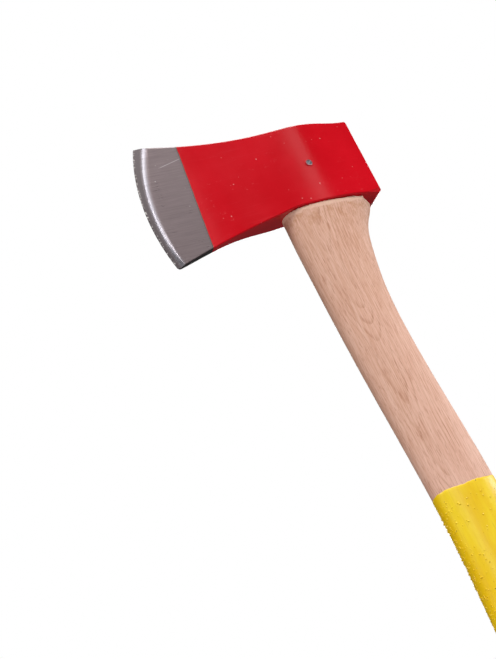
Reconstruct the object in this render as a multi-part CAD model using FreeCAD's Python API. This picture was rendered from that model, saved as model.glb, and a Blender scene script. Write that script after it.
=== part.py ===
import FreeCAD, Part
import math
import os

# Fire axe, in millimetres.  It hangs upright: +Z runs up the handle to the head, the bit points
# to -X and the poll to +X, and both cheeks are mirror images about the plane Y = 0.
# The origin is the middle of the eye in the plane of the head's underside.

# --- head: one steel forging -------------------------------------------------------------------
HEAD_LENGTH = 198.8          # cutting edge to poll face
POLL_X = 53.0                # poll face, from the middle of the eye
EDGE_RADIUS = 176.0          # arc of the cutting edge, seen from the side
EDGE_CENTRE_X = POLL_X - HEAD_LENGTH + EDGE_RADIUS
EDGE_CENTRE_Z = 17.6
NOSE_HALF = 0.2              # half thickness of the cutting edge itself
HEEL_Z = -27.6
TOE_Z = 85.8
HEEL_ROUND = 3.0
HEEL_DROP = 0.75             # the underside line meets the cutting edge this far below HEEL_Z
TOE_ROUND = 1.6
CROWN_ROUND = 5.5            # rear end of the top, seen from the side
FOOT_ROUND = 4.0             # rear end of the underside

BEVEL_HEEL = 3.5             # width of the ground edge bevel at the heel ...
BEVEL_TOE = 7.0              # ... and at the toe
ROLL_HEEL = 2.4              # width of the convex run from bevel to cheek, at the heel ...
ROLL_TOE = 6.0               # ... and at the toe
BEVEL_HALF_HEEL = 1.5        # half thickness of the head where the bevel ends, at the heel ...
BEVEL_HALF_TOE = 2.2         # ... and at the toe
ROLL_MEET = 0.03             # the run meets the cheek this much steeper than the cheek itself

BIT_SLOPE = 0.045            # growth of the half thickness per mm, at the front end of the bit ...
POLL_SLOPE = -0.02           # ... and behind the poll face

# Half thickness of the head along X before the bit is ground: (x, along the underside, along the top).
CHEEK = [
    (-152.0, 1.75, 1.75),
    (-125.0, 2.80, 2.95),
    (-99.0, 3.95, 4.10),
    (-75.0, 6.35, 6.50),
    (-51.0, 10.35, 10.20),
    (-27.0, 14.05, 13.50),
    (-8.0, 16.55, 15.90),
    (10.0, 17.80, 17.20),
    (28.0, 17.10, 15.90),
    (42.0, 15.30, 14.40),
    (53.0, 14.10, 14.10),
    (62.0, 13.60, 13.90),
]
CHEEK_TOP_Z = 73.0           # height that the last column of CHEEK belongs to
CHEEK_LEVELS = [-45.0, -22.0, 2.0, 26.0, 50.0, 74.0, 98.0]

# Top and underside of the head seen from the side, starting in front of the cutting edge.
TOP_LINE = [
    (-165.0, 89.0),
    (-132.5, 85.8),
    (-98.0, 80.4),
    (-78.0, 77.4),
    (-58.0, 74.7),
    (-38.0, 73.3),
    (-16.0, 73.5),
    (6.0, 74.0),
    (28.0, 73.0),
    (42.0, 72.2),
    (POLL_X, 72.2),
]
UNDER_LINE = [
    (-165.0, -35.6),
    (-137.3, -27.6),
    (-106.0, -17.6),
    (-87.0, -12.1),
    (-63.0, -6.9),
    (-39.0, -2.5),
    (-20.0, 0.0),
]
UNDER_FRONT_SLOPE = 0.29
UNDER_REAR_SLOPE = 0.0

POLL_ROUND = 2.5             # rounding of the poll's two upright edges
RIM_ROUND = 0.9              # rounding of the edges round the top and the underside
FACET_START_X = 35.0         # a ground facet breaks each lower poll corner from here ...
FACET_HEIGHT = 4.2           # ... up to this height at the poll face
FACET_DEPTH = 2.0            # ... and this far in under the head
BLOCK = 60.0                 # size of the blocks that shapes are cut with

# --- eye, tongue, wedges and pin ---------------------------------------------------------------
EYE_LENGTH = 62.0            # at the underside
EYE_WIDTH = 20.0
EYE_POWER = 2.2
EYE_FLARE = 1.5              # growth of each half axis from the underside to EYE_TOP_Z
EYE_TOP_Z = 80.0
EYE_BASE_Z = -2.0            # the eye runs out through the underside, which falls away to the front
TONGUE_TOP_Z = 75.4          # the handle's tongue stands just proud of the head

KERF_TIP_Z = 43.0
KERF_LENGTH = 54.0
KERF_TOP_WIDTH = 5.4
KERF_TIP_WIDTH = 1.4
KERF_END_TAPER = 1.5

CROSS_WEDGE_X = 16.5         # each side of the eye's middle
CROSS_WEDGE_WIDTH = 17.0
CROSS_WEDGE_TOP = 3.2        # thickness at the top ...
CROSS_WEDGE_TIP = 0.7        # ... and at the tip
CROSS_WEDGE_TIP_Z = 52.0
CROSS_WEDGE_PROUD = 0.3
CROSS_WEDGE_SIDE_TAPER = 1.0

PIN_RADIUS = 3.1
PIN_X = -0.6
PIN_Z = 36.0
PIN_PROUD = 0.35             # peened end, above the cheek
PIN_MARK_RADIUS = 0.75       # centre mark in each end

# --- handle ------------------------------------------------------------------------------------
OVAL_POWER = 2.3             # 2 is an ellipse, more is squarer
OVAL_POINTS = 16
# Haft sections down from the shoulder: (z, middle x, half depth along X, half thickness along Y).
HAFT = [
    (-2.0, 6.0, 42.2, 16.5),
    (-12.0, 2.0, 38.0, 15.9),
    (-25.0, -2.2, 34.0, 15.3),
    (-45.0, -5.0, 31.0, 14.5),
    (-80.0, -7.4, 27.9, 13.6),
    (-120.0, -7.4, 26.8, 13.1),
    (-180.0, -4.5, 26.9, 13.0),
    (-240.0, -0.8, 27.4, 13.0),
    (-300.0, 0.4, 27.1, 13.2),
    (-360.0, -2.3, 26.0, 13.5),
    (-430.0, -6.5, 24.4, 13.8),
    (-520.0, -11.0, 22.6, 13.8),
    (-620.0, -15.5, 21.3, 13.4),
    (-700.0, -20.0, 21.2, 13.2),
    (-760.0, -25.6, 23.6, 13.8),
    (-800.0, -31.4, 28.4, 15.4),
    (-845.0, -38.5, 33.5, 16.4),
]
SHOULDER_CHAMFER = 2.0
# The shoulder's rear tip is cut away below the poll: a short step down, then a slope.
TIP_CUT = [(33.5, 2.0), (33.5, -3.2), (39.8, -7.8), (36.3, -18.0), (62.0, -18.0), (62.0, 2.0)]
END_X = -33.0                # the knob's end is a slanted cut through this point ...
END_Z = -819.0
END_SLANT = 14.0             # ... lower at the toe, in degrees
END_ROUND = 5.0

COAT_THICKNESS = 0.5
COAT_TOP_Z = -256.6          # upper edge of the dipped grip coating, at X = 0 ...
COAT_SLANT = 4.0             # ... rising to the rear, in degrees


def vector(x, y, z):
    return FreeCAD.Vector(x, y, z)


def line(a, b):
    return Part.LineSegment(a, b).toShape()


def polygon_face(points):
    return Part.Face(Part.makePolygon(points + points[:1]))


def mix(low, high, share):
    return low + (high - low) * share


def across(x, z):
    """Cylinder along Y through the whole head, as wide as the pin."""
    return Part.makeCylinder(PIN_RADIUS, BLOCK, vector(x, -BLOCK / 2, z), vector(0, 1, 0))


def side_prism(points):
    """Prism through the whole head or haft with the given (x, z) outline."""
    return polygon_face([vector(x, -BLOCK / 2, z) for x, z in points]).extrude(vector(0, BLOCK, 0))


def round_edges(solid, radius, chosen):
    return solid.makeFillet(radius, [e for e in solid.Edges if chosen(e.BoundBox)])


# --- head --------------------------------------------------------------------------------------
def edge_x(z):
    """X of the cutting edge at height z."""
    return EDGE_CENTRE_X - math.sqrt(EDGE_RADIUS ** 2 - (z - EDGE_CENTRE_Z) ** 2)


def underside_half(x):
    """Half thickness of the head along its underside, between two points of CHEEK."""
    for (x0, half0, _), (x1, half1, _) in zip(CHEEK, CHEEK[1:]):
        if x0 <= x <= x1:
            return mix(half0, half1, (x - x0) / (x1 - x0))


def cheek_half(x, z):
    """Half thickness of the unground head, straight between the columns of CHEEK."""
    for (x0, low0, high0), (x1, low1, high1) in zip(CHEEK, CHEEK[1:]):
        if x0 <= x <= x1:
            share = (x - x0) / (x1 - x0)
            return mix(mix(low0, low1, share), mix(high0, high1, share), z / CHEEK_TOP_Z)


def cheek_curve(z, side):
    """One side of the unground head at height z, and its two ends."""
    points = [vector(x, side * mix(low, high, z / CHEEK_TOP_Z), z) for x, low, high in CHEEK]
    curve = Part.BSplineCurve()
    curve.interpolate(Points=points, InitialTangent=vector(1.0, side * BIT_SLOPE, 0.0),
                      FinalTangent=vector(1.0, side * POLL_SLOPE, 0.0))
    return curve.toShape(), points[0], points[-1]


def head_section(z):
    near, near_front, near_end = cheek_curve(z, -1)
    far, far_front, far_end = cheek_curve(z, 1)
    return Part.Wire([near, line(near_end, far_end), far, line(far_front, near_front)])


def ground_section(z, side):
    """At height z, what grinding takes off one side of the bit: flat bevel, then a convex run."""
    share = (z - HEEL_Z) / (TOE_Z - HEEL_Z)
    bevel = mix(BEVEL_HEEL, BEVEL_TOE, share)
    reach = bevel + mix(ROLL_HEEL, ROLL_TOE, share)
    nose = edge_x(z)
    meet = cheek_half(nose + reach, z)
    bevel_half = mix(BEVEL_HALF_HEEL, BEVEL_HALF_TOE, share)
    slope = (bevel_half - NOSE_HALF) / bevel
    end_slope = BIT_SLOPE + ROLL_MEET
    corner = (meet - NOSE_HALF - end_slope * reach) / (slope - end_slope)

    def point(along, half):
        return vector(nose + along, side * half, z)

    start = point(-bevel, NOSE_HALF - slope * bevel)
    bevel_end = point(bevel, bevel_half)
    beyond = point(2 * reach, meet + end_slope * reach)
    roll = Part.BezierCurve()
    roll.setPoles([bevel_end, point(corner, NOSE_HALF + slope * corner), point(reach, meet)])
    out, back = point(2 * reach, BLOCK / 2), point(-bevel, BLOCK / 2)
    return Part.Wire([line(start, bevel_end), roll.toShape(), line(point(reach, meet), beyond),
                      line(beyond, out), line(out, back), line(back, start)])


def side_outline():
    """The head's outline seen from the side, running on past the cutting edge."""
    top = [vector(x, -BLOCK / 2, z) for x, z in TOP_LINE]
    under = [vector(x, -BLOCK / 2, z) for x, z in UNDER_LINE]
    foot = vector(POLL_X, -BLOCK / 2, 0.0)
    crown = Part.BSplineCurve()
    crown.interpolate(top)
    belly = Part.BSplineCurve()
    belly.interpolate(Points=under, InitialTangent=vector(1.0, 0.0, UNDER_FRONT_SLOPE),
                      FinalTangent=vector(1.0, 0.0, UNDER_REAR_SLOPE))
    wire = Part.Wire([crown.toShape(), line(top[-1], foot), line(foot, under[-1]),
                      belly.toShape(), line(under[0], top[0])])
    return Part.Face(wire).extrude(vector(0, BLOCK, 0))


def corner_cut(corner, along_edge, along_body, radius):
    """What rounding takes off a corner of the side view; the two directions are (x, z) pairs."""
    edge = vector(along_edge[0], 0, along_edge[1]).normalize()
    body = vector(along_body[0], 0, along_body[1]).normalize()
    half_angle = edge.getAngle(body) / 2
    tip = vector(corner[0], -BLOCK / 2, corner[1])
    middle_way = (edge + body).normalize()
    centre = tip + middle_way * (radius / math.sin(half_angle))
    reach = radius / math.tan(half_angle)
    a, b = tip + edge * reach, tip + body * reach
    arc = Part.Arc(a, centre - middle_way * radius, b).toShape()
    outside = tip - middle_way * radius
    far_a, far_b = a - body * radius, b - edge * radius
    wire = Part.Wire([arc, line(b, far_b), line(far_b, outside), line(outside, far_a), line(far_a, a)])
    return Part.Face(wire).extrude(vector(0, BLOCK, 0))


def poll_facet(side):
    """What the ground facet takes off one lower poll corner: everything beyond a slanted plane."""
    half = underside_half(POLL_X)
    tip = vector(FACET_START_X, side * underside_half(FACET_START_X), 0.0)
    high = vector(POLL_X, side * half, FACET_HEIGHT)
    inner = vector(POLL_X, side * (half - FACET_DEPTH), 0.0)
    up = (high - inner).normalize() * BLOCK
    along = (tip - inner).normalize() * BLOCK
    outward = up.cross(along).normalize() * BLOCK * side * -1
    return polygon_face([inner - up - along, inner - up + along, inner + up + along,
                         inner + up - along]).extrude(outward)


def edge_front():
    """Everything in front of the arc of the cutting edge."""
    low, high = CHEEK_LEVELS[0], CHEEK_LEVELS[-1]
    foot, middle, top = (vector(edge_x(z), -BLOCK / 2, z) for z in (low, EDGE_CENTRE_Z, high))
    ahead = vector(edge_x(EDGE_CENTRE_Z) - BLOCK, -BLOCK / 2, EDGE_CENTRE_Z)
    wire = Part.Wire([Part.Arc(foot, middle, top).toShape(), line(top, ahead), line(ahead, foot)])
    return Part.Face(wire).extrude(vector(0, BLOCK, 0))


def rim_edge(box):
    """The edges round the top and the underside."""
    return (box.XLength > 1.0 or box.XMin > POLL_X - 0.1) and (box.ZMin > 60.0 or box.ZMax < 5.0)


def head_forging():
    """The whole head before the eye and the pin hole are made."""
    slab = Part.makeLoft([head_section(z) for z in CHEEK_LEVELS], True, False)
    head = slab.common(side_outline()).Solids[0]
    head = round_edges(head, POLL_ROUND, lambda box: box.XMin > POLL_X - 0.1 and box.ZLength > 50)
    head = round_edges(head, RIM_ROUND, rim_edge)
    for side in (-1, 1):
        head = head.cut(poll_facet(side)).Solids[0]
    for side in (-1, 1):
        grinding = Part.makeLoft([ground_section(z, side) for z in CHEEK_LEVELS], True, False)
        head = max(head.cut(grinding).Solids, key=lambda piece: piece.Volume)
    heel = corner_cut((edge_x(HEEL_Z), HEEL_Z - HEEL_DROP), (-0.33, 1.0), (1.0, 0.24), HEEL_ROUND)
    toe = corner_cut((edge_x(TOE_Z), TOE_Z), (-0.48, -1.0), (1.0, -0.04), TOE_ROUND)
    crown = corner_cut((POLL_X, TOP_LINE[-1][1]), (0.05, -1.0), (-1.0, 0.05), CROWN_ROUND)
    foot = corner_cut((POLL_X, 0.0), (0.06, 1.0), (-1.0, -0.06), FOOT_ROUND)
    for corner in (edge_front(), heel, toe, crown, foot):
        head = max(head.cut(corner).Solids, key=lambda piece: piece.Volume)
    return head


# --- handle ------------------------------------------------------------------------------------
def oval(z, middle, half_depth, half_thickness, power):
    """Closed superellipse at height z, as one periodic curve."""
    points = []
    for i in range(OVAL_POINTS):
        angle = 2 * math.pi * i / OVAL_POINTS
        c, s = math.cos(angle), math.sin(angle)
        x = middle + half_depth * math.copysign(abs(c) ** (2 / power), c)
        y = half_thickness * math.copysign(abs(s) ** (2 / power), s)
        points.append(vector(x, y, z))
    curve = Part.BSplineCurve()
    curve.interpolate(Points=points, PeriodicFlag=True)
    return Part.Wire([curve.toShape()])


def eye_taper(top_z):
    """The tapered oval that the eye is cut with and that the tongue fills."""
    ovals = []
    for z in (EYE_BASE_Z, top_z):
        grow = EYE_FLARE * z / EYE_TOP_Z
        ovals.append(oval(z, 0.0, EYE_LENGTH / 2 + grow, EYE_WIDTH / 2 + grow, EYE_POWER))
    return Part.makeLoft(ovals, True, True)


def haft(grow):
    """Shoulder to knob; the coating is the same haft grown by its thickness."""
    ovals = [oval(z, x, a + grow, b + grow, OVAL_POWER) for z, x, a, b in HAFT]
    body = Part.makeLoft(ovals, True, False)
    slant = math.radians(END_SLANT)
    reach = vector(math.cos(slant), 0, math.sin(slant)) * BLOCK
    half_width = vector(0, BLOCK, 0)
    end = vector(END_X, 0, END_Z - grow / math.cos(slant))
    cut = polygon_face([end - reach - half_width, end + reach - half_width,
                        end + reach + half_width, end - reach + half_width])
    body = body.cut(cut.extrude(vector(0, 0, -2 * BLOCK))).Solids[0]
    rim_top = END_Z + END_ROUND + BLOCK * math.sin(slant)
    return round_edges(body, END_ROUND + grow, lambda box: box.ZMax < rim_top)


def shoulder():
    """Chamfered collar between the haft's widest section and the head's underside."""
    z, x, a, b = HAFT[0]
    small = oval(0.0, x, a - SHOULDER_CHAMFER, b - SHOULDER_CHAMFER, OVAL_POWER)
    return Part.makeLoft([oval(z, x, a, b, OVAL_POWER), small], True, True)


def make_handle(forging, bare_haft, inserts):
    """Haft, shoulder and tongue in one piece, slotted for everything driven into it."""
    stick = bare_haft.fuse(shoulder()).cut(side_prism(TIP_CUT)).cut(forging)
    stick = stick.fuse(eye_taper(TONGUE_TOP_Z)).cut(across(PIN_X, PIN_Z))
    for insert in inserts:
        stick = stick.cut(insert)
    return stick.Solids[0]


def make_coating(bare_haft):
    slope = math.tan(math.radians(COAT_SLANT)) * 2 * BLOCK
    keep = side_prism([(-2 * BLOCK, COAT_TOP_Z - slope), (2 * BLOCK, COAT_TOP_Z + slope),
                       (2 * BLOCK, END_Z - 2 * BLOCK), (-2 * BLOCK, END_Z - 2 * BLOCK)])
    return haft(COAT_THICKNESS).common(keep).cut(bare_haft).Solids[0]


# --- what is driven into the tongue ------------------------------------------------------------
def taper(middle, top, tip, top_z, tip_z):
    """Flat wedge, point down; top and tip are its half sizes along X and Y."""
    def rectangle(half, z):
        corners = [(-1, -1), (1, -1), (1, 1), (-1, 1)]
        points = [vector(middle + half[0] * i, half[1] * j, z) for i, j in corners]
        return Part.makePolygon(points + points[:1])
    return Part.makeLoft([rectangle(tip, tip_z), rectangle(top, top_z)], True, True)


def kerf_wedge():
    top = (KERF_LENGTH / 2, KERF_TOP_WIDTH / 2)
    tip = (KERF_LENGTH / 2 - KERF_END_TAPER, KERF_TIP_WIDTH / 2)
    return taper(0.0, top, tip, TONGUE_TOP_Z, KERF_TIP_Z)


def cross_wedge(x):
    top = (CROSS_WEDGE_TOP / 2, CROSS_WEDGE_WIDTH / 2)
    tip = (CROSS_WEDGE_TIP / 2, CROSS_WEDGE_WIDTH / 2 - CROSS_WEDGE_SIDE_TAPER)
    return taper(x, top, tip, TONGUE_TOP_Z + CROSS_WEDGE_PROUD, CROSS_WEDGE_TIP_Z)


def make_pin(forging):
    """Pin through both cheeks, each end peened to a low dome with a centre mark."""
    reach = across(PIN_X, PIN_Z).common(forging).optimalBoundingBox().YMax + PIN_PROUD
    pin = Part.makeCylinder(PIN_RADIUS, 2 * reach, vector(PIN_X, -reach, PIN_Z), vector(0, 1, 0))
    pin = round_edges(pin, PIN_PROUD, lambda box: box.YLength < PIN_RADIUS)
    for side in (-1, 1):
        centre = vector(PIN_X, side * (reach + PIN_MARK_RADIUS / 2), PIN_Z)
        pin = pin.cut(Part.makeSphere(PIN_MARK_RADIUS, centre))
    return pin.Solids[0]


def main():
    os.makedirs("parts", exist_ok=True)
    forging = head_forging()
    bare_haft = haft(0.0)
    steel = {
        "cross_wedge_front": cross_wedge(-CROSS_WEDGE_X),
        "cross_wedge_rear": cross_wedge(CROSS_WEDGE_X),
    }
    wood = kerf_wedge()
    handle = make_handle(forging, bare_haft, [wood] + list(steel.values()))
    for wedge in steel.values():
        wood = wood.cut(wedge)

    nodes = {
        "axe_head": forging.cut(eye_taper(EYE_TOP_Z)).cut(across(PIN_X, PIN_Z)).Solids[0],
        "handle": handle,
        "grip_coating": make_coating(bare_haft),
        "kerf_wedge": wood.Solids[0],
        "locking_pin": make_pin(forging),
    }
    nodes.update(steel)
    for name, shape in nodes.items():
        print(name, "valid" if shape.isValid() else "INVALID", round(shape.Volume / 1000, 2), "cm3")
        shape.exportStep("parts/" + name + ".step")


main()
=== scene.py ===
import math
import random

import bpy
from mathutils import Matrix, Vector, noise
from mathutils.bvhtree import BVHTree


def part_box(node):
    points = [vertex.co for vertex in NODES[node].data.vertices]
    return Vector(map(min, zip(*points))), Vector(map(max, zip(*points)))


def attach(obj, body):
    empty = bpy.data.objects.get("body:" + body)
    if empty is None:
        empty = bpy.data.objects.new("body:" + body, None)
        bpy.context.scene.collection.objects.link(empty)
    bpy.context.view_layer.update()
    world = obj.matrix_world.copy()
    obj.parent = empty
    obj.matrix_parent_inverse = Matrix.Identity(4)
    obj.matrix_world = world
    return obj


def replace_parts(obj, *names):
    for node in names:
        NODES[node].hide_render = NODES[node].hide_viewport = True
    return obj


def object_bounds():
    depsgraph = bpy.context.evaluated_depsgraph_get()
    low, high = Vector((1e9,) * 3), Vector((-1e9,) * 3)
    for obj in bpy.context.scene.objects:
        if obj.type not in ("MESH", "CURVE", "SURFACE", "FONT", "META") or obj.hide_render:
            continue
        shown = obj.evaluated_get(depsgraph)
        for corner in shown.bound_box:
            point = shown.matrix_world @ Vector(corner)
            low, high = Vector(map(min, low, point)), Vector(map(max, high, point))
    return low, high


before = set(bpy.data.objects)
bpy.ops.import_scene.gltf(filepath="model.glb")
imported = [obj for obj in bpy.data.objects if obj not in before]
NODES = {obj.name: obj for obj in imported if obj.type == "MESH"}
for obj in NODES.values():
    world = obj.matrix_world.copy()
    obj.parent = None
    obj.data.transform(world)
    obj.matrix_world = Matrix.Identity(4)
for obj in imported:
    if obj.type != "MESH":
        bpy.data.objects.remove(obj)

# Fire axe, in metres, in the frame of the CAD model: +Z up the handle, the bit to -X, the poll to +X.
CAD_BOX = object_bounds()
MM = 0.001
PIN = (Vector(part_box("locking_pin")[0]) + Vector(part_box("locking_pin")[1])) / 2


# --- node materials ----------------------------------------------------------------------------
class Shader:
    """A node material under construction. Each call adds one node and gives its output socket."""

    def __init__(self, name):
        self.material = bpy.data.materials.new(name)
        self.material.use_nodes = True
        self.tree = self.material.node_tree
        self.tree.nodes.clear()
        self.place = self.node("ShaderNodeTexCoord").outputs["Object"]

    def node(self, kind, inputs=(), **settings):
        made = self.tree.nodes.new(kind)
        for key, value in settings.items():
            setattr(made, key, value)
        for key, value in dict(inputs).items():
            if isinstance(value, bpy.types.NodeSocket):
                self.tree.links.new(value, made.inputs[key])
            else:
                made.inputs[key].default_value = value
        return made

    def calc(self, operation, a, b=0.0, c=0.0):
        return self.node("ShaderNodeMath", {0: a, 1: b, 2: c}, operation=operation).outputs[0]

    def product(self, a, b):
        return self.calc("MULTIPLY", a, b)

    def length(self, a, b):
        return self.calc("SQRT", self.calc("ADD", self.product(a, a), self.product(b, b)))

    def axes(self, vector=None):
        split = self.node("ShaderNodeSeparateXYZ", {0: vector or self.place})
        return split.outputs[0], split.outputs[1], split.outputs[2]

    def scaled(self, vector, x, y, z):
        return self.node("ShaderNodeVectorMath", {0: vector, 1: (x, y, z)},
                         operation="MULTIPLY").outputs[0]

    def shifted(self, vector, offset):
        return self.node("ShaderNodeVectorMath", {0: vector, 1: offset},
                         operation="ADD").outputs[0]

    def noise(self, vector, scale, detail=2.0, roughness=0.5, colour=False):
        made = self.node("ShaderNodeTexNoise", {"Vector": vector, "Scale": scale, "Detail": detail,
                                                "Roughness": roughness})
        return made.outputs["Color" if colour else "Fac"]

    def cells(self, scale, output="Distance"):
        made = self.node("ShaderNodeTexVoronoi", {"Vector": self.place, "Scale": scale})
        return made.outputs[output]

    def chance(self, scale):
        """One random number for each cell of that scale."""
        return self.axes(self.cells(scale, "Color"))[0]

    def rise(self, value, low, high, start=0.0, end=1.0):
        """Smoothly from start to end as value goes from low to high."""
        return self.node("ShaderNodeMapRange", {0: value, 1: low, 2: high, 3: start, 4: end},
                         interpolation_type="SMOOTHSTEP").outputs[0]

    def linear(self, value, low, high, start=0.0, end=1.0):
        made = self.node("ShaderNodeMapRange", {0: value, 1: low, 2: high, 3: start, 4: end})
        return made.outputs[0]

    def mix(self, share, a, b):
        made = self.node("ShaderNodeMix", data_type="RGBA")
        for index, value in ((0, share), (6, a), (7, b)):
            if isinstance(value, bpy.types.NodeSocket):
                self.tree.links.new(value, made.inputs[index])
            elif index == 0:
                made.inputs[0].default_value = value
            else:
                made.inputs[index].default_value = (*value, 1.0)
        return made.outputs[2]

    def bump(self, height, distance, normal=None):
        inputs = {"Height": height, "Distance": distance, "Strength": 1.0}
        if normal is not None:
            inputs["Normal"] = normal
        return self.node("ShaderNodeBump", inputs).outputs[0]

    def finish(self, **inputs):
        """The Principled shader that everything above leads to; names use _ for a space."""
        surface = self.node("ShaderNodeBsdfPrincipled",
                            {key.replace("_", " "): value for key, value in inputs.items()})
        self.node("ShaderNodeOutputMaterial", {"Surface": surface.outputs[0]})
        return self.material


LINE_X = -0.10437                  # the grinding line at z = 0 ...
LINE_LEAN = 0.0826                 # ... and how far it runs back per metre of height
EDGE_RADIUS = 0.176                # arc of the cutting edge, seen from the side
EDGE_X, EDGE_Z = 0.0302, 0.0176    # middle of that arc
HEEL_Z, TOE_Z = -0.0276, 0.0858
BEVEL_HEEL, BEVEL_TOE = 3.5 * MM, 7.0 * MM
SPECKS = 150.0                     # cells per metre that hold at most one chip each
DOTS = 330.0                       # the same for small chips
DOTS_END_X, DOTS_END_Z = 0.045, 0.068
SCRATCH_Z, SCRATCH_SLOPE = 0.0933, 0.2515    # a long scratch on the bit: z at x = 0, and its slope
SCRATCH_FRONT, SCRATCH_REAR = -0.121, -0.098


def paint_and_steel():
    """Red paint from the poll to the grinding line, bare ground steel in front of it."""
    s = Shader("red_paint_over_steel")
    x, _, z = s.axes()
    # grinding line: a straight plane that leans forward from the top to the underside
    waver = s.product(s.calc("SUBTRACT", s.noise(s.place, 180.0, 3.0), 0.5), 0.7 * MM)
    line_x = s.calc("MULTIPLY_ADD", z, LINE_LEAN, LINE_X)
    behind = s.calc("ADD", s.calc("SUBTRACT", x, line_x), waver)
    painted = s.rise(behind, 0.0, 0.25 * MM)
    rim = s.product(s.rise(behind, -0.75 * MM, -0.35 * MM),
                 s.rise(behind, 0.15 * MM, 0.35 * MM, 1.0, 0.0))
    facing = s.axes(s.node("ShaderNodeNewGeometry").outputs["True Normal"])[2]
    below = s.rise(facing, -0.75, -0.5, 1.0, 0.0)

    # paint: lengthwise sanding marks under it, pale scuffs and specks on it
    cloud = s.noise(s.place, 22.0, 4.0, 0.6)
    red = s.mix(s.rise(cloud, 0.3, 0.7), (0.595, 0.0018, 0.0085), (0.655, 0.0030, 0.0120))
    streak = s.noise(s.scaled(s.place, 22.0, 60.0, 1100.0), 1.0, 4.0, 0.65)
    red = s.mix(s.rise(streak, 0.56, 0.76, 0.0, 0.24), red, (0.70, 0.035, 0.05))
    zone = s.rise(s.noise(s.place, 30.0, 3.0, 0.6), 0.47, 0.60)
    scuff = s.noise(s.scaled(s.place, 260.0, 260.0, 420.0), 1.0, 5.0, 0.75)
    scuffed = s.product(zone, s.rise(scuff, 0.60, 0.72, 0.0, 0.42))
    red = s.mix(scuffed, red, (0.80, 0.16, 0.17))
    rare = s.rise(s.chance(SPECKS), 0.90, 0.91)
    ragged = s.calc("ADD", s.cells(SPECKS), s.product(s.noise(s.place, 1500.0, 2.0), 0.10))
    specks = s.product(rare, s.rise(ragged, 0.10, 0.15, 1.0, 0.0))
    red = s.mix(s.product(specks, 0.65), red, (0.85, 0.42, 0.40))
    few = s.rise(s.chance(DOTS), 0.955, 0.960)
    dots = s.product(few, s.rise(s.cells(DOTS), 0.10, 0.17, 1.0, 0.0))
    # none at the outline, where they would nibble at it
    dots = s.product(dots, s.product(s.rise(x, DOTS_END_X, DOTS_END_X + 2.0 * MM, 1.0, 0.0),
                                     s.rise(z, DOTS_END_Z, DOTS_END_Z + 2.0 * MM, 1.0, 0.0)))
    red = s.mix(s.product(dots, 0.35), red, (0.85, 0.35, 0.34))
    peel = s.noise(s.place, 420.0, 2.0)
    paint_rough = s.calc("ADD", s.linear(cloud, 0.3, 0.7, 0.11, 0.15), s.product(streak, 0.05))

    # steel: brushed lengthwise, with a painted highlight where the bevel rolls into the cheek and
    # painted shade on the bevel, which is also ground rougher; reach is the distance from the cutting
    # edge, past the distance from the bevel's rear end
    reach = s.calc("SUBTRACT", EDGE_RADIUS, s.length(s.calc("SUBTRACT", x, EDGE_X),
                                                     s.calc("SUBTRACT", z, EDGE_Z)))
    bevel = s.linear(z, HEEL_Z, TOE_Z, BEVEL_HEEL, BEVEL_TOE)
    brush = s.noise(s.scaled(s.place, 28.0, 28.0, 1150.0), 1.0, 3.0, 0.7)
    fray = s.product(s.calc("SUBTRACT", brush, 0.5), 1.6 * MM)
    past = s.calc("SUBTRACT", s.calc("ADD", reach, fray), bevel)
    bevel_grind_and_shade = s.rise(past, -2.4 * MM, 0.5 * MM, 1.0, 0.0)
    patch = s.noise(s.place, 60.0, 4.0, 0.6)
    steel = s.mix(s.linear(brush, 0.3, 0.7), (0.195, 0.154, 0.158), (0.250, 0.200, 0.205))
    steel = s.mix(s.rise(patch, 0.45, 0.75, 0.0, 0.25), steel, (0.17, 0.134, 0.136))
    # painted highlight: the steel's colour made brighter in a band just behind the bevel, where it
    # rolls into the cheek
    painted_highlight_band = s.product(s.rise(past, -2.0 * MM, 0.5 * MM), s.rise(past, 1.0 * MM, 4.5 * MM, 1.0, 0.0))
    painted_highlight_band = s.product(painted_highlight_band, s.linear(brush, 0.3, 0.7, 0.45, 1.0))
    steel = s.mix(painted_highlight_band, steel, (0.38, 0.37, 0.41))
    # painted shade: the steel's colour darkened on the bevel; its rougher grind is added to the
    # roughness below
    steel = s.mix(s.product(bevel_grind_and_shade, 0.9), steel, (0.125, 0.108, 0.112))
    nick = s.noise(s.scaled(s.place, 500.0, 300.0, 700.0), 1.0, 2.0)
    at_edge = s.rise(reach, 0.4 * MM, 1.5 * MM, 1.0, 0.0)
    bright, dark = s.rise(nick, 0.54, 0.62, 0.0, 0.7), s.rise(nick, 0.36, 0.44, 0.7, 0.0)
    steel = s.mix(s.product(at_edge, bright), steel, (0.90, 0.86, 0.82))
    steel = s.mix(s.product(at_edge, dark), steel, (0.05, 0.04, 0.035))
    steel = s.mix(s.product(s.calc("MAXIMUM", specks, dots), 0.6), steel, (0.80, 0.80, 0.80))
    scratch_z = s.calc("MULTIPLY_ADD", x, SCRATCH_SLOPE, SCRATCH_Z)
    off_line = s.calc("ABSOLUTE", s.calc("SUBTRACT", scratch_z, z))
    ends = s.product(s.rise(x, SCRATCH_FRONT, SCRATCH_FRONT + 5.0 * MM),
                     s.rise(x, SCRATCH_REAR - 3.0 * MM, SCRATCH_REAR, 1.0, 0.0))
    scratch = s.product(s.rise(off_line, 0.15 * MM, 0.45 * MM, 1.0, 0.0), ends)
    steel = s.mix(s.product(scratch, 0.30), steel, (0.75, 0.72, 0.74))
    steel_rough = s.calc("ADD", s.linear(patch, 0.3, 0.7, 0.24, 0.27), s.product(brush, 0.08))
    steel_rough = s.calc("ADD", steel_rough, s.product(bevel_grind_and_shade, 0.22))

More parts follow.
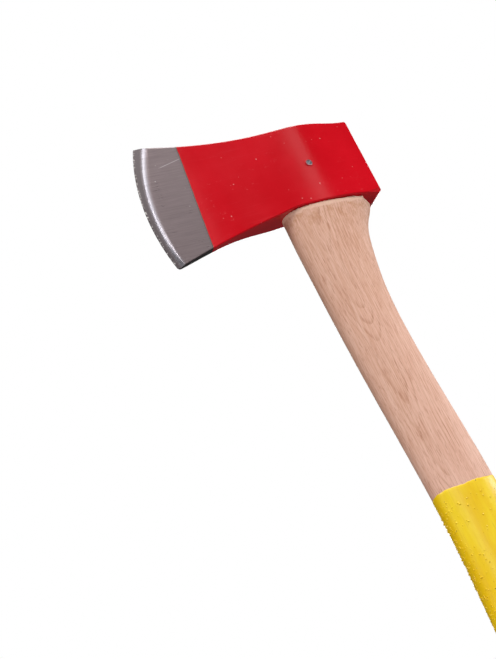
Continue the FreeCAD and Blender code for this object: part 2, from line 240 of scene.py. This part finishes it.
    bare = s.mix(rim, steel, (0.075, 0.08, 0.065))
    bare = s.mix(s.product(below, 0.93), bare, (0.012, 0.012, 0.011))
    colour = s.mix(painted, bare, red)
    naked = s.calc("SUBTRACT", 1.0, painted)
    dull = s.calc("MAXIMUM", s.product(rim, 0.8), s.product(below, 0.9))
    metallic = s.product(naked, s.calc("SUBTRACT", 1.0, dull))
    rough = s.calc("ADD", s.product(painted, paint_rough), s.product(naked, steel_rough))
    step = s.bump(painted, 0.12 * MM)
    brushed = s.bump(s.product(brush, naked), 0.016 * MM, step)
    skin = s.calc("ADD", s.product(peel, 0.8), s.product(streak, 0.9))
    skin = s.calc("SUBTRACT", skin, s.product(specks, 1.5))
    return s.finish(Base_Color=colour, Metallic=metallic, Roughness=rough,
                    Specular_IOR_Level=0.32,
                    Normal=s.bump(s.product(skin, painted), 0.016 * MM, brushed))


# The tree's middle runs 30 mm off the near side and leans away from it downwards, so the rings
# leave the surface in arches that point down the haft.
TREE_X, TREE_Y = -0.021, -0.044    # at z = 0
TREE_LEAN = 0.036                  # along Y, per metre of height
RINGS = 640.0                      # growth rings per metre
SWAY = 0.012                       # how far the rings wander


def haft_wood():
    """Pale pinkish wood: short dark pores along the grain, and growth rings that run out in arches."""
    s = Shader("haft_wood")
    z = s.axes()[2]
    sway = s.noise(s.scaled(s.place, 22.0, 22.0, 9.0), 1.0, 1.5, 0.5, colour=True)
    bent = s.shifted(s.place, s.scaled(s.shifted(sway, (-0.5, -0.5, -0.5)), SWAY, SWAY, 0.0))
    bx, by, bz = s.axes(bent)
    off_y = s.calc("SUBTRACT", s.calc("SUBTRACT", by, TREE_Y), s.product(bz, TREE_LEAN))
    turn = s.calc("FRACT", s.product(s.length(s.calc("SUBTRACT", bx, TREE_X), off_y), RINGS))
    late = s.product(s.rise(turn, 0.55, 0.92), s.rise(turn, 0.94, 1.0, 1.0, 0.0))
    weight = s.rise(s.noise(s.scaled(s.place, 40.0, 40.0, 10.0), 1.0, 2.0), 0.38, 0.62, 0.15, 1.0)
    late = s.product(late, weight)
    fibre = s.noise(s.scaled(s.place, 1150.0, 1150.0, 36.0), 1.0, 3.0, 0.65)
    broad = s.noise(s.scaled(s.place, 70.0, 70.0, 12.0), 1.0, 4.0, 0.6)
    pore = s.noise(s.scaled(s.place, 1350.0, 1350.0, 130.0), 1.0, 2.0, 0.5)
    pores = s.product(s.rise(pore, 0.54, 0.66), s.linear(late, 0.0, 0.6, 0.6, 1.0))
    wood = s.mix(s.linear(broad, 0.3, 0.7), (0.69, 0.375, 0.262), (0.81, 0.475, 0.362))
    # painted shade: the wood darkened towards the head, from none at z = -240 mm to its full share at
    # z = -70 mm
    wood = s.mix(s.linear(z, -0.24, -0.07, 0.0, 0.45), wood, (0.60, 0.300, 0.180))
    wood = s.mix(s.product(late, 0.85), wood, (0.50, 0.220, 0.120))
    wood = s.mix(s.linear(fibre, 0.42, 0.62, 0.0, 0.50), wood, (0.90, 0.585, 0.46))
    wood = s.mix(s.product(pores, 0.55), wood, (0.42, 0.150, 0.075))
    # the end of the shoulder: a painted highlight makes the chamfer at the rim paler, with darker
    # brown blotches below it
    blotch = s.noise(s.place, 170.0, 5.0, 0.7)
    level = s.calc("ADD", z, s.product(s.calc("SUBTRACT", blotch, 0.5), 8.0 * MM))
    brown_blotches = s.product(s.rise(level, -30.0 * MM, -7.0 * MM), s.rise(blotch, 0.46, 0.62))
    wood = s.mix(s.product(brown_blotches, 0.55), wood, (0.52, 0.225, 0.100))
    # painted highlight: a band at the rim made paler, where the chamfer catches the light
    wood = s.mix(s.rise(level, -5.5 * MM, -4.0 * MM, 0.0, 0.7), wood, (0.86, 0.560, 0.430))
    grain = s.calc("SUBTRACT", s.product(fibre, 0.6), s.product(pores, 0.9))
    return s.finish(Base_Color=wood, Roughness=s.linear(fibre, 0.2, 0.8, 0.70, 0.55),
                    Normal=s.bump(grain, 0.035 * MM))


def wedge_wood():
    s = Shader("wedge_wood")
    fibre = s.noise(s.scaled(s.place, 60.0, 900.0, 900.0), 1.0, 3.0)
    wood = s.mix(s.linear(fibre, 0.3, 0.7), (0.62, 0.40, 0.22), (0.74, 0.52, 0.32))
    return s.finish(Base_Color=wood, Roughness=0.65, Normal=s.bump(fibre, 0.05 * MM))


PITS = 210.0                       # cells per metre that hold at most one pit each


def grip_coating():
    """Glossy yellow dip coating: the grain below shows through, and it has small dark pits."""
    s = Shader("yellow_coating")
    fibre = s.noise(s.scaled(s.place, 1100.0, 1100.0, 30.0), 1.0, 3.0, 0.6)
    broad = s.noise(s.scaled(s.place, 90.0, 90.0, 14.0), 1.0, 3.0, 0.6)
    yellow = s.mix(s.linear(broad, 0.35, 0.65), (0.90, 0.56, 0.003), (0.98, 0.70, 0.010))
    yellow = s.mix(s.rise(fibre, 0.55, 0.75, 0.0, 0.3), yellow, (0.74, 0.42, 0.006))
    worn = s.product(s.rise(broad, 0.60, 0.72), s.rise(fibre, 0.5, 0.62))
    yellow = s.mix(s.product(worn, 0.55), yellow, (0.55, 0.28, 0.03))
    pit = s.product(s.rise(s.chance(PITS), 0.60, 0.61), s.rise(s.cells(PITS), 0.08, 0.14, 1.0, 0.0))
    yellow = s.mix(s.product(pit, 0.85), yellow, (0.16, 0.085, 0.006))
    height = s.calc("ADD", s.product(fibre, 0.35), s.noise(s.place, 240.0, 2.0))
    height = s.calc("SUBTRACT", height, s.product(pit, 2.0))
    return s.finish(Base_Color=yellow, Roughness=s.linear(broad, 0.3, 0.7, 0.32, 0.42),
                    Normal=s.bump(height, 0.06 * MM))


def bare_steel():
    s = Shader("bare_steel")
    grain = s.noise(s.place, 900.0, 3.0)
    steel = s.mix(grain, (0.20, 0.19, 0.20), (0.42, 0.40, 0.42))
    return s.finish(Base_Color=steel, Metallic=1.0, Roughness=s.linear(grain, 0.3, 0.7, 0.35, 0.55),
                    Normal=s.bump(grain, 0.04 * MM))


def pin_steel():
    """Dull peened end with red paint run over its rim."""
    s = Shader("pin_steel")
    x, _, z = s.axes()
    pin_x, pin_z = s.calc("SUBTRACT", x, PIN.x), s.calc("SUBTRACT", z, PIN.z)
    off = s.length(pin_x, pin_z)
    grain = s.noise(s.place, 700.0, 3.0)
    run = s.product(s.calc("SUBTRACT", s.noise(s.place, 330.0, 2.0), 0.5), 3.2 * MM)
    painted = s.rise(s.calc("ADD", off, run), 2.3 * MM, 2.7 * MM)
    steel = s.mix(s.rise(grain, 0.35, 0.65), (0.09, 0.09, 0.10), (0.30, 0.29, 0.31))
    colour = s.mix(painted, steel, (0.50, 0.004, 0.012))
    return s.finish(Base_Color=colour, Metallic=s.calc("SUBTRACT", 1.0, painted),
                    Roughness=s.linear(grain, 0.3, 0.7, 0.30, 0.50),
                    Normal=s.bump(s.calc("ADD", grain, painted), 0.10 * MM))


def dress(name, material):
    mesh = NODES[name].data
    mesh.materials.clear()
    mesh.materials.append(material)


dress("axe_head", paint_and_steel())
dress("handle", haft_wood())
dress("kerf_wedge", wedge_wood())
dress("locking_pin", pin_steel())
steel = bare_steel()
for name in ("cross_wedge_front", "cross_wedge_rear"):
    dress(name, steel)


# --- mesh pieces -------------------------------------------------------------------------------
HAFT_SURFACE = BVHTree.FromObject(NODES["handle"], bpy.context.evaluated_depsgraph_get())
FAR = 0.2
Z_AXIS = Vector((0.0, 0.0, 1.0))


def piece(name, points, faces, material):
    mesh = bpy.data.meshes.new(name)
    mesh.from_pydata([tuple(p) for p in points], [], faces)
    mesh.validate()
    mesh.shade_smooth()
    mesh.materials.append(material)
    made = bpy.data.objects.new(name, mesh)
    bpy.context.scene.collection.objects.link(made)
    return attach(made, "root")


def hit(origin, way):
    """Point and normal of the haft's outside, seen from far out along way."""
    for nudge in (0.0, 0.02, -0.03):      # a ray can slip through between two triangles
        start = origin + way * FAR + Vector((nudge, nudge, nudge)) * MM
        point, normal, _, _ = HAFT_SURFACE.ray_cast(start, -way, 2 * FAR)
        if point is not None:
            break
    return point, normal


def haft_middle(z):
    level = Vector((0.0, 0.0, z))
    front, _ = hit(level, Vector((-1.0, 0.0, 0.0)))
    rear, _ = hit(level, Vector((1.0, 0.0, 0.0)))
    return Vector(((front.x + rear.x) / 2, 0.0, z))


# --- dipped grip -------------------------------------------------------------------------------
COAT_LOW, COAT_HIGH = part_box("grip_coating")
COAT = 0.35 * MM                   # under the CAD sleeve's 0.5 mm, so that the ripples stay within it
AROUND = 168                       # points in a ring
LENGTHWISE = 420                   # rings from the lip to the knob
LIP = (-0.1, 0.25, 0.45, 0.65)     # share of the full thickness, just below the upper edge
LIP_STEP = 0.30 * MM
FAN = 26                           # rings round the end of the knob
FAN_Z = COAT_LOW.z + 26 * MM
EDGE_SLANT = 0.07                  # the upper edge rises to the rear
EDGE_DROP = 0.8 * MM               # of the edge at the rear, below the CAD sleeve's top
HAFT_HALF = 27 * MM                # half depth of the haft at the edge
FLATNESS = 0.62                    # of the haft's section, so that rays meet it evenly
SMOOTHINGS = 6
RIPPLE = 0.05 * MM
BEADS = 3000
FRONT_SHARE = 0.60                 # of the beads, gathered round the front
SIDES = 8                          # points in a bead's ring
BEAD_RINGS = ((1.25, -0.15), (0.92, 0.30), (0.50, 0.66))    # radius and height, in bead radii


def upper_edge(angle):
    """Height of the coating's upper edge; dipping left it slightly wavy."""
    c, d = math.cos(angle), math.sin(angle)
    wave = 0.45 * math.sin(2 * angle + 0.6) + 0.25 * math.sin(5 * angle + 2.0)
    ragged = 0.5 * noise.noise(Vector((6 * c, 6 * d, 4.0)))
    return COAT_HIGH.z - EDGE_DROP + EDGE_SLANT * HAFT_HALF * (c - 1) + (wave + ragged) * MM


def sleeve_ring(row):
    """One ring of points on the haft, and its share of the coating's thickness."""
    ring = []
    below = row - len(LIP)
    for k in range(AROUND):
        angle = 2 * math.pi * k / AROUND
        way = Vector((math.cos(angle), FLATNESS * math.sin(angle), 0.0)).normalized()
        lip_end = upper_edge(angle) - len(LIP) * LIP_STEP
        if below < 0:
            origin = haft_middle(upper_edge(angle) - row * LIP_STEP)
        elif below < LENGTHWISE:
            origin = haft_middle(lip_end + (FAN_Z - lip_end) * below / LENGTHWISE)
        else:
            origin = haft_middle(FAN_Z)
            pitch = math.radians(88.0) * (below - LENGTHWISE) / (FAN - 1)
            way = way * math.cos(pitch) - Z_AXIS * math.sin(pitch)
        place, normal = hit(origin, way)
        ring.append(place + normal * COAT * (LIP[row] if below < 0 else 1.0))
    return ring


def smoothed(rings):
    for _ in range(SMOOTHINGS):
        rings = rings[:len(LIP)] + [
            [ring[k] * 0.5 + (rings[i - 1][k] + rings[i + 1][k] + ring[k - 1]
                              + ring[(k + 1) % AROUND]) * 0.125 for k in range(AROUND)]
            for i, ring in enumerate(rings[:-1]) if i >= len(LIP)] + rings[-1:]
    return rings


def bead(place, normal, radius, points, faces):
    """A small hard drop of coating, sunk a little into the surface."""
    side = normal.cross(Vector((0.3, 0.5, 0.8))).normalized()
    other = normal.cross(side)
    first = len(points)
    for spread, lift in BEAD_RINGS:
        for k in range(SIDES):
            a = 2 * math.pi * k / SIDES
            points.append(place + (side * math.cos(a) + other * math.sin(a)) * radius * spread
                          + normal * radius * lift)
    points.append(place + normal * radius * 0.78)
    last = first + (len(BEAD_RINGS) - 1) * SIDES
    for low in range(first, last, SIDES):
        for k in range(SIDES):
            a, b = low + k, low + (k + 1) % SIDES
            faces.append((a, b, b + SIDES, a + SIDES))
    for k in range(SIDES):
        faces.append((last + k, last + (k + 1) % SIDES, last + SIDES))


def grip_sleeve():
    rings = smoothed([sleeve_ring(row) for row in range(len(LIP) + LENGTHWISE + FAN)])
    points, faces = [], []
    for i, ring in enumerate(rings):
        for k, place in enumerate(ring):
            below = rings[min(i + 1, len(rings) - 1)][k] - rings[max(i - 1, 0)][k]
            beside = ring[(k + 1) % AROUND] - ring[k - 1]
            normal = below.cross(beside).normalized()
            ripple = noise.noise(place * 320.0) + 0.6 * noise.noise(place * 900.0)
            points.append(place + normal * ripple * (RIPPLE if i >= len(LIP) else 0.0))
    for i in range(len(rings) - 1):
        for k in range(AROUND):
            a, b = i * AROUND + k, i * AROUND + (k + 1) % AROUND
            faces.append((a, a + AROUND, b + AROUND, b))
    faces.append(tuple((len(rings) - 1) * AROUND + k for k in range(AROUND)))
    chance = random.Random(7)
    for _ in range(BEADS):
        row = len(LIP) + 6 + int(chance.random() * (LENGTHWISE - 10))
        front = chance.random() < FRONT_SHARE
        k = int(AROUND * (0.5 + chance.gauss(0.0, 0.07))) if front else chance.randrange(AROUND)
        k %= AROUND
        place = points[row * AROUND + k]
        normal = (points[(row + 1) * AROUND + k] - points[(row - 1) * AROUND + k]).cross(
            points[row * AROUND + (k + 1) % AROUND] - points[row * AROUND + k - 1]).normalized()
        size = (0.28 + 0.55 * chance.random() ** 2) * MM
        bead(place, normal, size, points, faces)
    return piece("dipped_grip", points, faces, grip_coating())


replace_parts(grip_sleeve(), "grip_coating")


# --- torn fibres where the haft was driven up against the head ---------------------------------
RIM_Z = -2.1 * MM                  # just below the collar's chamfer
FLAKE_FACES = [(0, 1, 3, 2), (2, 3, 5, 4), (4, 5, 7, 6), (6, 7, 1, 0), (0, 2, 4, 6), (1, 7, 5, 3)]
RIM_MIDDLE = Vector((4 * MM, 0.0, RIM_Z))
FLAKES = 150


def shoulder_fibres():
    points, faces = [], []
    chance = random.Random(21)
    for i in range(FLAKES):
        angle = 2 * math.pi * (i + 0.8 * chance.random()) / FLAKES
        way = Vector((math.cos(angle), 0.5 * math.sin(angle), 0.0)).normalized()
        foot, normal = hit(RIM_MIDDLE, way)
        if foot is None:
            continue
        along = normal.cross(Z_AXIS).normalized()
        width = (0.5 + 1.6 * chance.random() ** 2) * MM
        rise = (0.9 + 0.9 * chance.random()) * MM
        lean = (0.02 + 0.25 * chance.random() ** 2) * MM
        low = foot - Z_AXIS * 0.9 * MM - normal * 0.25 * MM
        bulge = foot + Z_AXIS * 0.35 * rise + normal * lean
        sideways = along * chance.uniform(-0.4, 0.4) * MM
        tip = foot + Z_AXIS * rise - normal * (0.6 * MM - lean) + sideways
        first = len(points)
        for base, half in ((low, 0.35), (bulge, 0.5), (tip, 0.28)):
            points += [base - along * width * half, base + along * width * half]
        inner = foot - normal * 1.2 * MM
        points += [inner - along * width * 0.5, inner + along * width * 0.5]
        faces += [tuple(first + corner for corner in face) for face in FLAKE_FACES]
    return piece("shoulder_fibres", points, faces, NODES["handle"].data.materials[0])


shoulder_fibres()


# --- camera ------------------------------------------------------------------------------------
SENSOR = 36.0                      # mm, along the picture's longer side
FOCAL = 1733.12 / 659 * SENSOR     # from pixels, the picture being 659 high
AZIMUTH, ELEVATION, ROLL = (math.radians(a) for a in (-29.67, -24.18, -25.33))
DISTANCE = 1.300
TARGET = Vector((-0.10725, 0.0, -0.09037))

back = Vector((math.sin(AZIMUTH) * math.cos(ELEVATION), -math.cos(AZIMUTH) * math.cos(ELEVATION),
               math.sin(ELEVATION)))
level = Vector((math.cos(AZIMUTH), math.sin(AZIMUTH), 0.0))
upright = back.cross(level)
right = level * math.cos(ROLL) + upright * math.sin(ROLL)
up = back.cross(right)
lens = bpy.data.cameras.new("camera")
lens.sensor_width = SENSOR
lens.lens = FOCAL
lens.clip_start = 0.05
lens.clip_end = 50.0
camera = bpy.data.objects.new("camera", lens)
turn = Matrix((right, up, back)).transposed()
camera.matrix_world = Matrix.Translation(TARGET + back * DISTANCE) @ turn.to_4x4()
bpy.context.scene.collection.objects.link(camera)
bpy.context.scene.camera = camera


# --- light -------------------------------------------------------------------------------------
def softbox(name, azimuth, elevation, distance, width, height, strength, aim):
    """Area light seen from aim at that azimuth, which is 0 towards -Y and 90 towards +X."""
    a, e = math.radians(azimuth), math.radians(elevation)
    way = Vector((math.sin(a) * math.cos(e), -math.cos(a) * math.cos(e), math.sin(e)))
    data = bpy.data.lights.new(name, "AREA")
    data.shape = "RECTANGLE"
    data.size = width
    data.size_y = height
    data.energy = strength * width * height * math.pi    # strength is the radiance it shows
    lamp = bpy.data.objects.new(name, data)
    lamp.rotation_mode = "QUATERNION"
    lamp.rotation_quaternion = way.to_track_quat("Z", "Y")
    lamp.location = aim + way * distance
    lamp.visible_camera = False
    bpy.context.scene.collection.objects.link(lamp)


HEAD = (Vector(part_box("axe_head")[0]) + Vector(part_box("axe_head")[1])) / 2
HAFT = Vector((-0.02, 0.0, -0.30))
GRIP = Vector((-0.02, 0.0, -0.45))
softbox("key", 38.0, 56.0, 4.5, 2.6, 2.0, 6.8, HEAD)
softbox("fill", -52.0, 40.0, 4.5, 2.0, 2.0, 6.0, HEAD)
softbox("low", 78.0, 10.0, 1.3, 0.6, 0.8, 6.8, HAFT)
softbox("band", 4.0, 10.0, 1.8, 0.20, 0.9, 5.0, GRIP)
softbox("side", -66.0, -10.0, 0.75, 0.4, 0.5, 3.3, GRIP)
softbox("window", 25.5, 24.5, 2.0, 0.20, 1.3, 1.5, HEAD)
softbox("strip", 3.0, 25.0, 1.9, 0.17, 1.2, 9.5, HEAD)
softbox("rear", 150.0, 25.0, 3.5, 2.0, 2.0, 6.0, HEAD)
softbox("kick_front", -52.0, -22.0, 1.6, 0.9, 0.7, 0.9, HEAD)

# brightness of the studio round the object, from straight down (0) to straight up (1)
SKY = [(0.001, 0.16), (0.35, 0.09), (0.52, 0.06), (0.72, 0.05), (0.86, 0.30), (0.999, 0.55)]
world = bpy.data.worlds.new("studio")
bpy.context.scene.world = world
world.use_nodes = True
tree = world.node_tree
tree.nodes.clear()
heading = tree.nodes.new("ShaderNodeTexCoord")
split = tree.nodes.new("ShaderNodeSeparateXYZ")
height = tree.nodes.new("ShaderNodeMapRange")
for socket, value in enumerate((-1.0, 1.0, 0.0, 1.0), start=1):
    height.inputs[socket].default_value = value
sky = tree.nodes.new("ShaderNodeValToRGB")
sky.color_ramp.interpolation = "EASE"
for place, value in SKY:
    stop = sky.color_ramp.elements.new(place)
    stop.color = (value, value, value, 1.0)
sky.color_ramp.elements.remove(sky.color_ramp.elements[0])
sky.color_ramp.elements.remove(sky.color_ramp.elements[-1])
tree.links.new(heading.outputs["Generated"], split.inputs[0])
tree.links.new(split.outputs[2], height.inputs[0])
tree.links.new(height.outputs[0], sky.inputs[0])
around = tree.nodes.new("ShaderNodeBackground")
tree.links.new(sky.outputs[0], around.inputs["Color"])
seen = tree.nodes.new("ShaderNodeBackground")    # the camera sees plain white
seen.inputs["Color"].default_value = (1.0, 1.0, 1.0, 1.0)
seen.inputs["Strength"].default_value = 1.0
path = tree.nodes.new("ShaderNodeLightPath")
choice = tree.nodes.new("ShaderNodeMixShader")
tree.links.new(path.outputs["Is Camera Ray"], choice.inputs[0])
tree.links.new(around.outputs[0], choice.inputs[1])
tree.links.new(seen.outputs[0], choice.inputs[2])
out = tree.nodes.new("ShaderNodeOutputWorld")
tree.links.new(choice.outputs[0], out.inputs[0])


# --- floor -------------------------------------------------------------------------------------
FLOOR = 12.0                       # half width
floor_mesh = bpy.data.meshes.new("floor")
corners = [(-FLOOR, -FLOOR), (FLOOR, -FLOOR), (FLOOR, FLOOR), (-FLOOR, FLOOR)]
floor_mesh.from_pydata([(a, b, CAD_BOX[0].z) for a, b in corners], [], [(0, 1, 2, 3)])
floor = bpy.data.objects.new("floor", floor_mesh)
bpy.context.scene.collection.objects.link(floor)
pale = Shader("pale_floor")
floor_mesh.materials.append(pale.finish(
    Base_Color=pale.mix(pale.noise(pale.place, 3.0), (0.80, 0.80, 0.80), (0.84, 0.84, 0.84)),
    Roughness=0.8))
floor.visible_diffuse = False
floor.visible_glossy = False

bpy.context.scene.view_settings.view_transform = "Standard"
